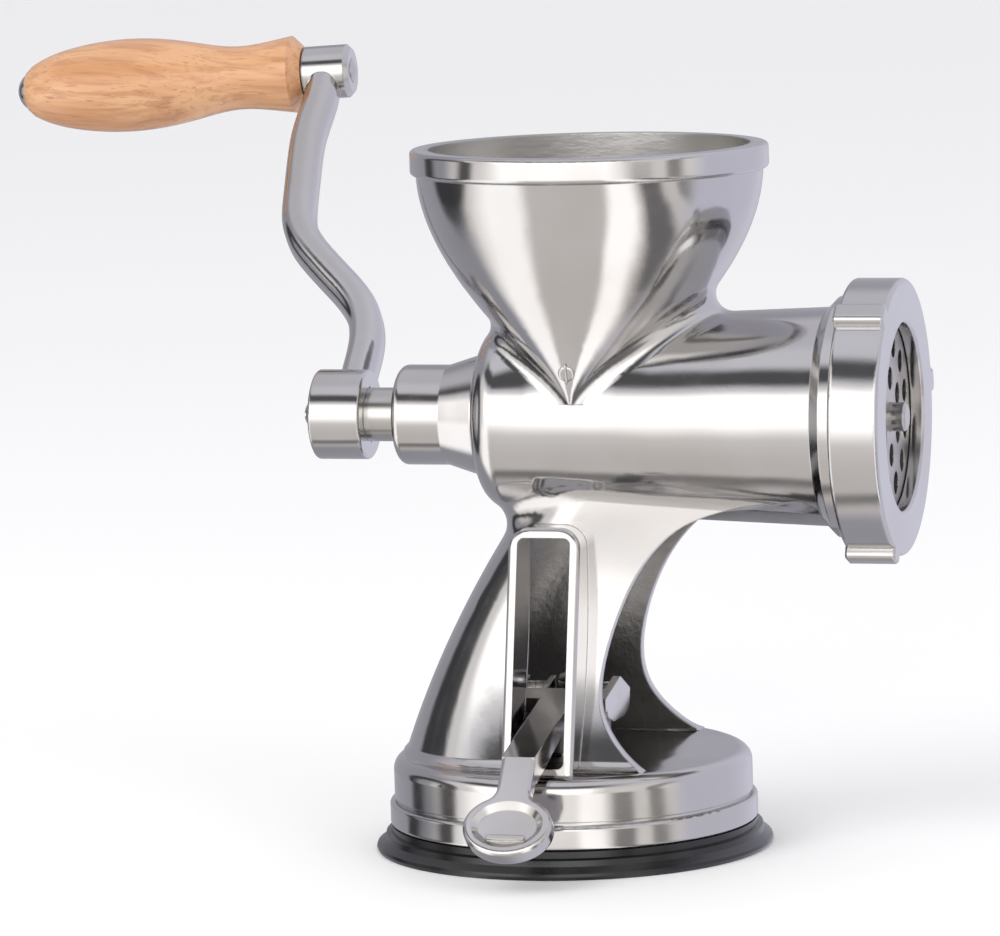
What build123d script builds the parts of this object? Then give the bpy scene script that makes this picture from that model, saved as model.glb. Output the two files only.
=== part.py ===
from build123d import *
import math
import os

# Hand crank meat grinder on a suction foot, cast and polished stainless steel.
# Millimetres. Origin: centre of the foot, on the table. +Z up, +X along the barrel towards
# the grinding plate, -Y towards the suction lever.

# ---- driving dimensions: overall ----
total_height = 196.0          # table to hopper rim
barrel_axis_height = 120.8    # table to the feed screw's axis
crank_radius = 138.2          # screw axis to handle axis
crank_lean = 50.0             # degrees the crank stands away from vertical, towards +Y

foot_radius = 50.2            # upright wall of the round foot
barrel_radius = 30.2          # outside of the barrel at the collar

# ---- foot and suction cup ----
foot_lip_proud = 1.3
foot_lip_round = 1.0
foot_groove_depth = 0.7
foot_groove_width = 1.0
foot_underside = 7.2          # height of the lip's lower edge
foot_lip_height = 6.8
foot_top = 26.8
foot_edge_round = 4.0
foot_wall = 3.6
cup_step_proud = 1.2          # the cup's step stands this far outside the foot's wall
cup_edge = ((0.0, 5.4), (1.4, 5.0), (1.7, 3.4), (3.2, 2.3), (3.95, 1.8), (4.2, 1.0),
            (3.7, 0.0))       # thin outer edge: (beyond the step, height)
cup_hollow_radius = 44.0
cup_hollow_depth = 3.2
cup_seat_gap = 0.3
cup_pocket_radius = 9.5
cup_pocket_room = 2.6         # free height under the stem's lower end

# ---- pedestal ----
pedestal_wall = 4.0
pedestal_back_step = 3.1      # the rear wall stands this far inside the foot's wall
pedestal_back_slope = 0.33
pedestal_back_curve = 0.0026
pedestal_top_half_width = 20.2
pedestal_foot_step = 17.5
pedestal_flare_height = 51.2  # the flare starts this high above the foot
pedestal_flare_span = 45.0
pedestal_blend = 7.0          # radius where the pedestal meets the barrel
pedestal_in_barrel = 14.0     # how far the pedestal runs up into the barrel
pedestal_foot_blend = 3.0     # radius where the pedestal meets the foot
foot_blend_sink = 0.1         # the blend's upper edge runs this far into the wall
mouth_low = ((29.0, 0.0), (25.2, 2.6), (20.6, 7.0), (15.8, 15.2), (14.9, 23.2),
             (16.6, 33.2))    # open edge: (x, height above the foot)
mouth_high = ((20.9, 48.8), (28.2, 36.8), (38.0, 28.3), (50.0, 23.8),
              (60.0, 21.3))   # open edge: (x, depth below the barrel's axis)

# ---- lever window in the front wall ----
window_centre = 0.8
window_half_width = 7.5
window_sill = 1.8             # above the foot
window_drop = 30.5            # top of the window below the barrel's axis
window_frame = 2.7            # width of the raised frame round the window
frame_proud = 7.3             # how far the frame's top stands in front of the pedestal
frame_foot_step = 7.2         # and its foot behind the foot's wall
window_corner = 5.0
window_hole_corner = 1.9
frame_edge_round = 1.4

# ---- hopper ----
hopper_centre = 9.2
hopper_half_length = 48.2     # along X, at the rim band
hopper_half_width = 45.8      # along Y
hopper_band_height = 7.0
hopper_band_proud = 1.6
hopper_band_round = 1.2
hopper_wall = 3.4
hopper_point_rise = 3.7       # point of the V above the barrel's axis
hopper_taper = 1.85           # how late the hopper narrows to the V
hopper_tip_half_width = 27.6
hopper_throat_half_length = 17.0
hopper_throat_half_width = 20.0
hopper_depths = (0.0, 0.14, 0.28, 0.42, 0.56, 0.7, 0.84, 0.96)   # sections, share of the depth
hopper_blend = 5.0            # radius where the hopper meets the barrel
seam_tolerance = 0.15         # a seam on the barrel lies this close to the barrel's taper
seam_width = 5.0              # and is at least this wide along Y

# ---- barrel ----
barrel_narrowing = 4.0        # the barrel narrows this much towards the rear
barrel_rear = -21.7
barrel_rear_round = 8.0
barrel_wall = 3.6
bore_rear = -15.0
neck_wall = 3.4
neck_length = 14.0
neck_round = 2.2
cone_rise = 3.2
cone_length = 10.0
neck_rear = -46.6
collar_length = 6.5           # collar between the barrel and the ring nut
collar_slope = 3.0
collar_proud = 0.2
mouth_wall = 4.7
mouth_seat = 87.5             # shoulder that the grinding plate sits on
mouth_depth = 4.5
plate_seat_width = 1.4

# ---- ring nut ----
ring_length = 14.0
ring_wall = 4.8
ring_lip = 3.7
ring_lip_overlap = 2.3
ring_edge_round = 1.2
thread_gap = 0.3
lug_proud = 2.9
lug_half_width = 3.4
lug_angles = (8.4, 128.4, 248.4)

# ---- grinding plate, knife and feed screw ----
plate_thickness = 5.0
plate_gap = 0.3
plate_hole = 3.2
plate_hole_margin = 8.4       # plate's edge to the outer circle of holes
plate_circle_step = 9.0
plate_hole_counts = (12, 6)
key_radius = 1.5
key_notch_gap = 0.3
knife_thickness = 4.0
knife_clearance = 1.0
knife_blade = 8.0
knife_hub_step = 0.4
knife_edge = 0.8              # flat left on each blade beside its bevel
shaft_radius = 7.55
core_step = 2.05
flight_clearance = 0.7
flight_pitch = 30.0
flight_thickness = 4.6
journal_radius = 4.0
journal_proud = 4.6
running_gap = 0.05
bush_wall = 3.0
bush_recess = 0.4
washer_thickness = 1.5
washer_step = 4.4

# ---- crank ----
shaft_shown = 9.4             # bare shaft between the neck and the crank's hub
hub_length = 14.9
hub_radius = 12.6
hub_round = 0.8
socket_gap = 0.2
socket_web = 3.0              # metal left between the socket and the hub's outer face
arm_width = 9.8
arm_depth = 11.2
arm_round = 4.4
arm_bends = ((1.2, 22.0), (-0.2, 32.6), (-4.7, 42.1), (-12.7, 51.8), (-21.1, 61.2),
             (-27.7, 70.9), (-31.1, 85.6), (-33.6, 105.4))   # (x, height) from the hub's middle
boss_offset = 33.2            # hub's middle to the boss's middle, along X
boss_length = 13.7
boss_radius = 7.9
boss_chamfer = 1.4
handle_tilt = 4.5             # degrees, outer end towards the hub
crank_screw_radius = 5.0
crank_screw_head = 4.2
crank_screw_thread = 3.9
crank_screw_length = 16.0
crank_screw_gap = 0.3
crank_screw_slot = 1.2

# ---- handle ----
handle_washer_thickness = 0.4
handle_washer_radius = 7.4
end_gap = 0.3                 # play at each end of a turning piece
handle_bolt_radius = 3.5
bolt_end_radius = 4.0
bolt_end_proud = 1.3
handle_outline = ((0.040, 11.4), (0.105, 10.5), (0.241, 9.4), (0.389, 11.4), (0.535, 13.4),
                  (0.644, 13.8), (0.808, 12.5), (0.907, 10.4),
                  (0.978, 7.6))   # (share of the handle's length, radius)
handle_length = 85.4
handle_inner_radius = 8.0     # at the face beside the boss
handle_outer_radius = 5.8     # at the free end
end_cap_radius = 5.2
end_cap_height = 2.8
bolt_in_cap = 1.1             # how far the bolt reaches into its cap nut

# ---- suction mechanism ----
lever_pivot_rise = 14.7       # pivot above the foot
stem_radius = 4.0
stem_crown = 7.1              # stem's rounded top above the pivot
stem_crown_round = 2.4
stem_drop = 2.5               # stem travel between locked and released
lever_swing = 65.0            # degrees of lever travel
cam_reach = 5.8               # pivot to cam seat when locked
cam_gap = 0.1
cam_front = 8.0
head_half_length = 14.2
head_crown = 5.9              # top of the lever's head above the pivot
stem_slot_gap = 0.4
slot_front = 9.0
cheek_thickness = 2.3
cheek_outline = ((0.7, 5.9), (11.2, 1.0), (10.0, -4.2), (4.6, -5.8), (-7.3, -5.6),
                 (-13.9, -3.5), (-16.6, 1.0), (-16.6, 2.2))   # (y, z) from the pivot
head_plate = ((0.7, 5.9), (9.2, 1.9), (7.2, -1.0), (0.0, 2.2), (-16.6, -1.6),
              (-16.6, 2.2))
pocket_rim = 1.6              # metal between the stem slot and each top pocket
pocket_front = -9.0
pocket_rear = 6.0
pocket_floor = 1.8
lever_pin_radius = 2.0
arm_slope = 12.4              # degrees, lever arm below horizontal
lever_arm_depth = 5.5
lever_nose_depth = 7.5
lever_side_gap = 2.8          # lever arm to the window's sides
lever_reach = 15.0            # the lever's bend in front of the window's foot
paddle_tilt = 42.0            # degrees from vertical
paddle_length = 30.8
paddle_half_width = 12.4
paddle_half_height = 9.6
paddle_thickness = 6.5
paddle_rim = 2.4
paddle_dish = 1.6
paddle_dish_slope = 1.8
paddle_front_round = 1.4
paddle_back_round = 2.2
paddle_rib_length = 11.0
paddle_rib_width = 1.4
paddle_rib_height = 0.9
paddle_neck_round = 4.0
seat_radius = 11.0
seat_back = 1.2
seat_base_height = 2.2
foot_plate_radius = 24.0
foot_plate_thickness = 2.4
foot_plate_gap = 2.4          # free height above the pull plate
stem_thread_radius = 3.0
stem_thread_proud = 0.6
stem_nut_height = 3.2
stem_nut_size = 11.0

# ---- values that follow ----
foot_floor = foot_top - foot_wall
foot_lip_radius = foot_radius + foot_lip_proud
cup_step_radius = foot_radius + cup_step_proud
foot_plate_bottom = foot_floor - foot_plate_gap - foot_plate_thickness
foot_plate_top = foot_plate_bottom + foot_plate_thickness
cup_plug_height = foot_plate_bottom - stem_drop - end_gap
stem_end = foot_plate_bottom - stem_nut_height - stem_thread_proud
cup_pocket_floor = stem_end - stem_drop - cup_pocket_room
lever_pivot_height = foot_top + lever_pivot_rise
stem_top = lever_pivot_height + stem_crown
seat_top = lever_pivot_height - cam_reach
pedestal_back_at_foot = foot_radius - pedestal_back_step
pedestal_flare = foot_radius - pedestal_top_half_width - pedestal_foot_step
pedestal_flare_start = foot_top + pedestal_flare_height
pedestal_top = barrel_axis_height - barrel_radius + pedestal_in_barrel
mouth_edge = [(x, foot_top + up) for x, up in mouth_low] \
    + [(x, barrel_axis_height - down) for x, down in mouth_high]
mouth_right = mouth_edge[-1][0]
window_top = barrel_axis_height - window_drop
window_bottom = foot_top + window_sill
frame_front_top = pedestal_top_half_width + frame_proud
frame_front_foot = foot_radius - frame_foot_step
lever_bend = frame_front_foot + lever_reach
lever_half_width = window_half_width - lever_side_gap
barrel_rear_radius = barrel_radius - barrel_narrowing
barrel_bore = barrel_radius - barrel_wall
barrel_rear_bore = barrel_rear_radius - barrel_wall
plate_radius = barrel_bore + plate_seat_width
mouth_bore = plate_radius + plate_gap
thread_radius = mouth_bore + mouth_wall
collar_radius = thread_radius + collar_proud
ring_bore = thread_radius + thread_gap
ring_radius = ring_bore + ring_wall
ring_hole = plate_radius - ring_lip_overlap
lug_radius = ring_radius + lug_proud
barrel_mouth = mouth_seat + mouth_depth
plate_rear = mouth_seat + plate_gap
plate_front = plate_rear + plate_thickness
ring_face = plate_front + plate_gap + ring_lip
ring_rear = ring_face - ring_length
collar_start = ring_rear - collar_length
knife_front = plate_rear - plate_gap
knife_rear = knife_front - knife_thickness
knife_reach = barrel_bore - knife_clearance
core_radius = shaft_radius + core_step
knife_hub = core_radius + knife_hub_step
flight_radius = barrel_bore - flight_clearance
screw_rear = bore_rear + washer_thickness + end_gap
screw_front = knife_rear - end_gap
stub_end = plate_front + journal_proud
square_side = math.sqrt(2) * shaft_radius + end_gap
bush_radius = shaft_radius + running_gap + bush_wall
washer_radius = bush_radius + washer_step
cone_small_radius = bush_radius + neck_wall
cone_large_radius = cone_small_radius + cone_rise
band_bottom = total_height - hopper_band_height
hopper_depth = band_bottom - barrel_axis_height - hopper_point_rise
bowl_floor = barrel_axis_height + barrel_radius + end_gap
crank_pivot = (0, 0, barrel_axis_height)
hub_inner = neck_rear - shaft_shown
hub_outer = hub_inner - hub_length
hub_middle = (hub_inner + hub_outer) / 2
socket_end = hub_outer + socket_web
boss_height = barrel_axis_height + crank_radius
boss_centre = hub_middle - boss_offset
boss_half = boss_length / 2
washer_face = boss_half + handle_washer_thickness
grip_start = washer_face + end_gap
grip_end = grip_start + handle_length


def save(node, shape):
    """Write one sub-part to parts/node.step."""
    shape.label = node
    export_step(shape, f"parts/{node}.step")
    print(node, len(shape.solids()), round(shape.volume, 1))


def along_x(radius, start, end, y=0.0, z=barrel_axis_height):
    """Cylinder whose axis runs along X from start to end."""
    plane = Plane(origin=(start, y, z), x_dir=(0, 1, 0), z_dir=(1, 0, 0))
    return extrude(plane * Circle(radius), end - start)


def along_z(radius, bottom, top, x=0.0, y=0.0):
    """Upright cylinder from bottom to top."""
    return extrude(Plane.XY.offset(bottom) * (Pos(x, y) * Circle(radius)), top - bottom)


def slab(x0, x1, y0, y1, z0, z1):
    """Box between two corners."""
    box = Box(x1 - x0, y1 - y0, z1 - z0, align=(Align.MIN, Align.MIN, Align.MIN))
    return Pos(x0, y0, z0) * box


def turned(points, axis_height=barrel_axis_height):
    """Solid of revolution about the barrel axis from (x, radius) points."""
    lifted = [(x, 0, axis_height + r) for x, r in points]
    outline = Polyline(*lifted, close=True)
    return revolve(make_face(outline), Axis((0, 0, axis_height), (1, 0, 0)))


# ---- body casting ----

def foot_solid():
    """Round foot: lip, groove, upright wall and rounded top edge."""
    lip_top = foot_underside + foot_lip_height
    groove = foot_radius - foot_groove_depth
    half = [(0, foot_underside), (foot_lip_radius, foot_underside),
            (foot_lip_radius, lip_top), (groove, lip_top),
            (groove, lip_top + foot_groove_width), (foot_radius, lip_top + foot_groove_width),
            (foot_radius, foot_top), (0, foot_top)]
    face = make_face(Polyline(*[(r, 0, z) for r, z in half], close=True))
    disc = revolve(face, Axis.Z)
    top_edge = disc.edges().filter_by(GeomType.CIRCLE).group_by(Axis.Z)[-1]
    disc = fillet(top_edge, foot_edge_round)
    lip_edge = [e for e in disc.edges().filter_by(GeomType.CIRCLE)
                if abs(e.radius - foot_lip_radius) < 0.01]
    return fillet(lip_edge, foot_lip_round)


def foot_hollow():
    """Space under the foot that holds the suction cup."""
    return along_z(foot_radius - foot_wall, foot_underside - 1, foot_floor)


def pedestal_back(z):
    """Distance of the rear wall behind the origin at height z."""
    up = z - foot_top
    return pedestal_back_at_foot - pedestal_back_slope * up - pedestal_back_curve * up ** 2


def pedestal_half_width(z):
    """Half width of the pedestal at height z: constant above, flared towards the foot."""
    drop = max(0.0, (pedestal_flare_start - z) / pedestal_flare_span)
    return pedestal_top_half_width + pedestal_flare * drop ** 1.8


def foot_flare(z):
    """How far the pedestal's outside curves outwards just above the foot: a quarter circle."""
    rest = max(0.0, min(1.0, 1 - (z - foot_top) / pedestal_foot_blend))
    return pedestal_foot_blend * (1 - math.sqrt(1 - rest ** 2))


def pedestal_section(z, inset):
    """D-shaped section: round at the back, open-ended towards +X."""
    radius = pedestal_half_width(z) - inset
    centre = pedestal_half_width(z) - pedestal_back(z)
    lines = [Line((mouth_right, -radius), (centre, -radius)),
             ThreePointArc((centre, -radius), (centre - radius, 0), (centre, radius)),
             Line((centre, radius), (mouth_right, radius)),
             Line((mouth_right, radius), (mouth_right, -radius))]
    return Plane.XY.offset(z) * make_face(lines)


def pedestal_tube(inset, bottom, top):
    """Loft of the pedestal's sections from bottom to top."""
    steps = 6
    heights = [bottom + (top - bottom) * k / steps for k in range(steps + 1)]
    return loft([pedestal_section(z, inset) for z in heights])


def mouth_cut():
    """Everything in front of the pedestal's open edge, a smooth curve in the XZ plane."""
    low, high = mouth_edge[0], mouth_edge[-1]
    right = mouth_right + pedestal_in_barrel
    edge = Spline(*[(x, 0, z) for x, z in mouth_edge])
    rest = Polyline((high[0], 0, high[1]), (high[0], 0, pedestal_top + 1),
                    (right, 0, pedestal_top + 1), (right, 0, foot_floor),
                    (low[0], 0, foot_floor), (low[0], 0, low[1]))
    return extrude(make_face([edge, rest]), foot_radius, both=True)


def pedestal_skirt():
    """Concave blend round the pedestal's base, fading out at the foot's rear edge."""
    steps = 4
    sections = []
    for k in range(steps + 1):
        z = foot_top + pedestal_foot_blend * (k / steps) ** 2
        sections.append(pedestal_section(z, foot_blend_sink - foot_flare(z)))
    skirt = loft(sections) + extrude(sections[0], -foot_edge_round / 4)
    rear = pedestal_back_at_foot + 2 * foot_blend_sink
    return skirt & along_z(rear, foot_floor, foot_top + pedestal_foot_blend)


def pedestal_solid():
    """Outside of the pedestal, up into the barrel."""
    return pedestal_tube(0, foot_floor, pedestal_top) + pedestal_skirt() - mouth_cut()


def pedestal_hollow(barrel):
    """Space inside the pedestal, below the barrel."""
    return pedestal_tube(pedestal_wall, foot_top, pedestal_top + 1) - barrel


def barrel_solid():
    """Outside of the barrel: neck, cone, rounded rear, barrel, collar and threaded mouth."""
    x_cone = neck_rear + neck_length
    thread_start = ring_rear - end_gap
    profile = [(neck_rear, 0), (neck_rear, cone_small_radius), (x_cone, cone_small_radius),
               (x_cone + cone_length, cone_large_radius), (barrel_rear, cone_large_radius),
               (barrel_rear, barrel_rear_radius), (collar_start, barrel_radius),
               (collar_start + collar_slope, collar_radius), (thread_start, collar_radius),
               (thread_start, thread_radius), (barrel_mouth, thread_radius),
               (barrel_mouth, 0)]
    solid = turned(profile)
    rims = solid.edges().filter_by(GeomType.CIRCLE)
    rear = [e for e in rims if abs(e.radius - barrel_rear_radius) < 0.01
            and abs(e.arc_center.X - barrel_rear) < 0.01]
    shoulder = barrel_rear_radius - cone_large_radius
    solid = fillet(rear, min(barrel_rear_round, 0.9 * shoulder))
    rims = solid.edges().filter_by(GeomType.CIRCLE)
    neck = [e for e in rims if abs(e.arc_center.X - neck_rear) < 0.01]
    return fillet(neck, neck_round)


def hopper_section(t, inset):
    """Ellipse at depth t, from 0 at the rim band to 1 at the point of the V."""
    half_length = hopper_half_length * (1 - t ** hopper_taper) - inset
    half_width = hopper_half_width + (hopper_tip_half_width - hopper_half_width) * t - inset
    plane = Plane.XY.offset(band_bottom - hopper_depth * t)
    return plane * (Pos(hopper_centre, 0) * Ellipse(half_length, half_width))


def hopper_solid():
    """Outside of the hopper with its rim band."""
    bowl = loft([hopper_section(t, 0) for t in hopper_depths])
    band = Ellipse(hopper_half_length + hopper_band_proud, hopper_half_width + hopper_band_proud)
    band = extrude(Plane.XY.offset(band_bottom) * (Pos(hopper_centre, 0) * band),
                   hopper_band_height)
    band = fillet(band.edges(), hopper_band_round)
    return bowl + band


def hopper_hollow():
    """Inside of the hopper and the throat down into the barrel."""
    floor_share = (band_bottom - bowl_floor) / hopper_depth
    bowl = loft([hopper_section(floor_share * k / 4, hopper_wall) for k in range(5)])
    at_centre = Pos(hopper_centre, 0)
    mouth = Ellipse(hopper_half_length - hopper_wall, hopper_half_width - hopper_wall)
    mouth = extrude(Plane.XY.offset(band_bottom) * (at_centre * mouth), hopper_band_height + 1)
    throat = at_centre * Ellipse(hopper_throat_half_length, hopper_throat_half_width)
    throat_top = barrel_axis_height + barrel_bore - end_gap
    lower = hopper_section(floor_share, hopper_wall)
    funnel = loft([Plane.XY.offset(throat_top) * throat, lower])
    shaft = extrude(Plane.XY.offset(barrel_axis_height) * throat, throat_top - barrel_axis_height)
    return bowl + mouth + funnel + shaft


def window_outline(half, top, bottom, corner):
    """Rounded outline on the sloping plane of the window frame's face."""
    height = top - foot_top
    lean = frame_front_foot - frame_front_top
    origin = (0, -frame_front_foot, foot_top)
    plane = Plane(origin=origin, x_dir=(1, 0, 0), z_dir=(0, -height, lean))
    stretch = math.hypot(height, lean) / height
    low = (bottom - foot_top) * stretch
    high = height * stretch
    middle = (low + high) / 2
    return plane * (Pos(window_centre, middle) * RectangleRounded(2 * half, high - low, corner))


def window_boss():
    """Raised rounded frame round the lever window."""
    half = window_half_width + window_frame
    top = window_top + window_frame
    outline = window_outline(half, top, foot_top - 2 * window_corner, window_corner + 1)
    boss = extrude(outline, frame_front_foot - pedestal_top_half_width / 2, dir=(0, 1, 0))
    boss = fillet(boss.faces().sort_by(Axis.Y)[0].edges(), frame_edge_round)
    front = -frame_front_foot - window_corner
    return boss & slab(-2 * half, 2 * half, front, -pedestal_top_half_width / 2, foot_top - 1, top)


def window_hole():
    """Opening through the frame and the front wall."""
    outline = window_outline(window_half_width, window_top, window_bottom, window_hole_corner)
    inward = extrude(outline, frame_front_foot - pedestal_top_half_width / 3, dir=(0, 1, 0))
    outward = extrude(outline, window_corner, dir=(0, -1, 0))
    return inward + outward


def cam_seat():
    """Raised saddle that the lever's cam presses on, with the stem's guide below it."""
    base = along_z(seat_radius, foot_top - 1, foot_top + seat_base_height)
    saddle = along_z(seat_radius, foot_top, seat_top)
    saddle = saddle & slab(-seat_radius, seat_radius, -seat_radius, seat_back, 0, seat_top)
    return base + saddle


def barrel_hollow():
    """Bore for the screw, plate seat and bush hole."""
    bore = turned([(bore_rear, 0), (bore_rear, barrel_rear_bore), (mouth_seat, barrel_bore),
                   (mouth_seat + 1, barrel_bore), (mouth_seat + 1, 0)])
    mouth = along_x(mouth_bore, mouth_seat, barrel_mouth + 1)
    neck = along_x(bush_radius, neck_rear - 1, bore_rear + 1)
    return bore + mouth + neck


def on_barrel(edge):
    """True if an edge lies on the barrel's tapered outside."""
    taper = (barrel_radius - barrel_rear_radius) / (collar_start - barrel_rear)
    for t in (0.1, 0.5, 0.9):
        p = edge @ t
        if not barrel_rear < p.X < collar_start:
            return False
        surface = barrel_rear_radius + taper * (p.X - barrel_rear)
        if abs(math.hypot(p.Y, p.Z - barrel_axis_height) - surface) > seam_tolerance:
            return False
    return edge.geom_type == GeomType.BSPLINE and edge.bounding_box().size.Y > seam_width


def body_casting():
    """Hopper, barrel, pedestal and foot in one casting, with blended joints."""
    barrel = barrel_solid()
    body = barrel + hopper_solid()
    body = fillet([e for e in body.edges() if on_barrel(e)], hopper_blend)
    body = body + pedestal_solid()
    below = [e for e in body.edges() if on_barrel(e) and (e @ 0.5).Z < barrel_axis_height]
    body = fillet(below, pedestal_blend)
    body = body + window_boss() + foot_solid() - pedestal_hollow(barrel)
    body = body - hopper_hollow() - barrel_hollow()
    body = body - window_hole() - foot_hollow() + cam_seat()
    body = body - along_z(stem_radius + running_gap, foot_underside, seat_top + 1)
    return body - plate_key_pin()


# ---- pieces fixed in the casting ----

def rear_bush():
    return along_x(bush_radius, neck_rear + bush_recess, bore_rear) \
        - along_x(shaft_radius + running_gap, neck_rear, bore_rear + 1)


def thrust_washer():
    return along_x(washer_radius, bore_rear, bore_rear + washer_thickness) \
        - along_x(shaft_radius + end_gap, bore_rear - 1, screw_rear)


def plate_key_pin():
    """Pin along X, half sunk in the wall of the plate seat."""
    z = barrel_axis_height + mouth_bore
    return along_x(key_radius, mouth_seat, barrel_mouth, z=z)


def suction_cup():
    """Rubber cup: thin outer flange, thick middle held up inside the foot, shallow hollow below."""
    rim = cup_step_radius
    inside = foot_radius - foot_wall - cup_seat_gap
    half = [(0, cup_pocket_floor), (cup_pocket_radius, cup_pocket_floor),
            (cup_pocket_radius, cup_plug_height), (inside, cup_plug_height),
            (inside, foot_underside), (rim, foot_underside)]
    half += [(rim + out, z) for out, z in cup_edge] + [(0, 0)]
    cup = revolve(make_face(Polyline(*[(r, 0, z) for r, z in half], close=True)), Axis.Z)
    ball = (cup_hollow_radius ** 2 + cup_hollow_depth ** 2) / (2 * cup_hollow_depth)
    return cup - Pos(0, 0, cup_hollow_depth - ball) * Sphere(ball)


# ---- feed screw, knife, plate and ring nut ----

def square_bar(side, start, end, turn=45.0):
    """Square bar along the screw's axis with one corner upwards."""
    plane = Plane(origin=(start, 0, barrel_axis_height), x_dir=(0, 1, 0), z_dir=(1, 0, 0))
    return extrude(plane * Rot(0, 0, turn) * Rectangle(side, side), end - start)


def screw_flight():
    """Helical flight: a sector of a disc twisted along the screw's axis."""
    length = screw_front - screw_rear
    turns = length / flight_pitch
    span = 360 * flight_thickness / flight_pitch
    sector = make_face([Line((0, 0), (flight_radius, 0)),
                        CenterArc((0, 0), flight_radius, 0, span),
                        Line((0, 0), (flight_radius * math.cos(math.radians(span)),
                                      flight_radius * math.sin(math.radians(span))))])
    section = (sector + Circle(core_radius)).faces()[0]
    twisted = Solid.extrude_linear_with_rotation(section, (0, 0, 0), (0, 0, length), 360 * turns)
    placed = Plane(origin=(screw_rear, 0, barrel_axis_height), x_dir=(0, 1, 0),
                   z_dir=(1, 0, 0)) * twisted
    taper = turned([(bore_rear, 0), (bore_rear, barrel_rear_bore - flight_clearance),
                    (screw_front, flight_radius), (screw_front, 0)])
    return placed & taper


def feed_screw():
    rear = square_bar(square_side, socket_end + end_gap, hub_inner + 1)
    rear = rear & along_x(shaft_radius, socket_end, hub_inner + 2)
    shaft = along_x(shaft_radius, hub_inner, screw_rear + 1)
    nose = square_bar(square_side, knife_rear - 2, knife_front)
    nose = nose & along_x(core_radius, knife_rear - 3, knife_front + 1)
    stub = along_x(journal_radius, knife_front - 1, stub_end)
    stub_tip = stub.edges().filter_by(GeomType.CIRCLE).sort_by(Axis.X)[-1]
    stub = chamfer(stub_tip, journal_radius / 6)
    tapped = along_x(crank_screw_thread, socket_end, hub_outer + crank_screw_length + 1)
    return rear + shaft + screw_flight() + nose + stub - tapped


def cross_knife():
    """Four-armed knife on the screw's square nose, bevelled on the trailing side of each arm."""
    hub = along_x(knife_hub, knife_rear, knife_front)
    blades = hub
    for k in range(4):
        blade = slab(knife_rear, knife_front, 0, knife_reach, -knife_blade / 2, knife_blade / 2)
        high = knife_blade / 2 + 1
        bevel = Polyline((knife_rear - 1, high), (knife_rear - 1, -knife_blade / 2),
                         (knife_front - knife_edge, high), close=True)
        bevel = extrude(Plane.XZ * make_face(bevel), -knife_reach - 1)
        turn = Rot(90 * k, 0, 0)
        blades = blades + Pos(0, 0, barrel_axis_height) * turn * (blade - bevel)
    blades = blades & along_x(knife_reach, knife_rear, knife_front)
    return blades - square_bar(square_side + 2 * running_gap, knife_rear - 1, knife_front + 1)


def grinding_plate():
    """Round plate with two circles of holes, a centre bearing and a notch for the key pin."""
    plate = along_x(plate_radius, plate_rear, plate_front)
    for ring, count in enumerate(plate_hole_counts):
        circle = plate_radius - plate_hole_margin - ring * plate_circle_step
        for k in range(count):
            a = 2 * math.pi * (k + 0.5) / count
            y, z = circle * math.cos(a), barrel_axis_height + circle * math.sin(a)
            plate = plate - along_x(plate_hole, plate_rear - 1, plate_front + 1, y, z)
    plate = plate - along_x(journal_radius + running_gap, plate_rear - 1, plate_front + 1)
    notch = along_x(key_radius + key_notch_gap, plate_rear - 1, plate_front + 1,
                    z=barrel_axis_height + mouth_bore)
    return plate - notch


def ring_nut():
    """Ring nut with a retaining lip at the front and three grip lugs."""
    inside = ring_face - ring_lip
    ring = turned([(ring_rear, ring_bore), (ring_rear, ring_radius), (ring_face, ring_radius),
                   (ring_face, ring_hole), (inside, ring_hole), (inside, ring_bore)])
    outer = [e for e in ring.edges().filter_by(GeomType.CIRCLE)
             if abs(e.radius - ring_radius) < 0.01]
    ring = fillet(outer, ring_edge_round)
    mouth = [e for e in ring.edges().filter_by(GeomType.CIRCLE)
             if abs(e.radius - ring_hole) < 0.01 and e.arc_center.X > inside + 1]
    ring = chamfer(mouth, ring_edge_round / 2)
    for angle in lug_angles:
        lug = slab(ring_rear, ring_face, ring_bore + 2, lug_radius, -lug_half_width, lug_half_width)
        lug = fillet(lug.edges().filter_by(Axis.X).group_by(Axis.Y)[-1], lug_half_width / 2)
        lug = chamfer(lug.faces().sort_by(Axis.Y)[-1].edges().filter_by(Axis.Z), ring_edge_round / 2)
        ring = ring + Pos(0, 0, barrel_axis_height) * Rot(angle, 0, 0) * lug
    return ring


# ---- crank and handle, drawn upright and then leaned over ----

def leaned(shape):
    """Turn a piece drawn with the crank upright into the crank's rest position."""
    return Pos(*crank_pivot) * Rot(-crank_lean, 0, 0) * Pos(0, 0, -barrel_axis_height) * shape


def handle_plane(distance):
    """Plane across the handle's axis, at a distance from the boss centre outwards."""
    tilt = math.radians(handle_tilt)
    outward = (-math.cos(tilt), 0, -math.sin(tilt))
    origin = (boss_centre + distance * outward[0], 0, boss_height + distance * outward[2])
    return Plane(origin=origin, x_dir=(0, 1, 0), z_dir=outward)


def handle_rod(radius, start, end):
    """Cylinder on the handle's axis between two distances from the boss centre."""
    return extrude(handle_plane(start) * Circle(radius), end - start)


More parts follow.
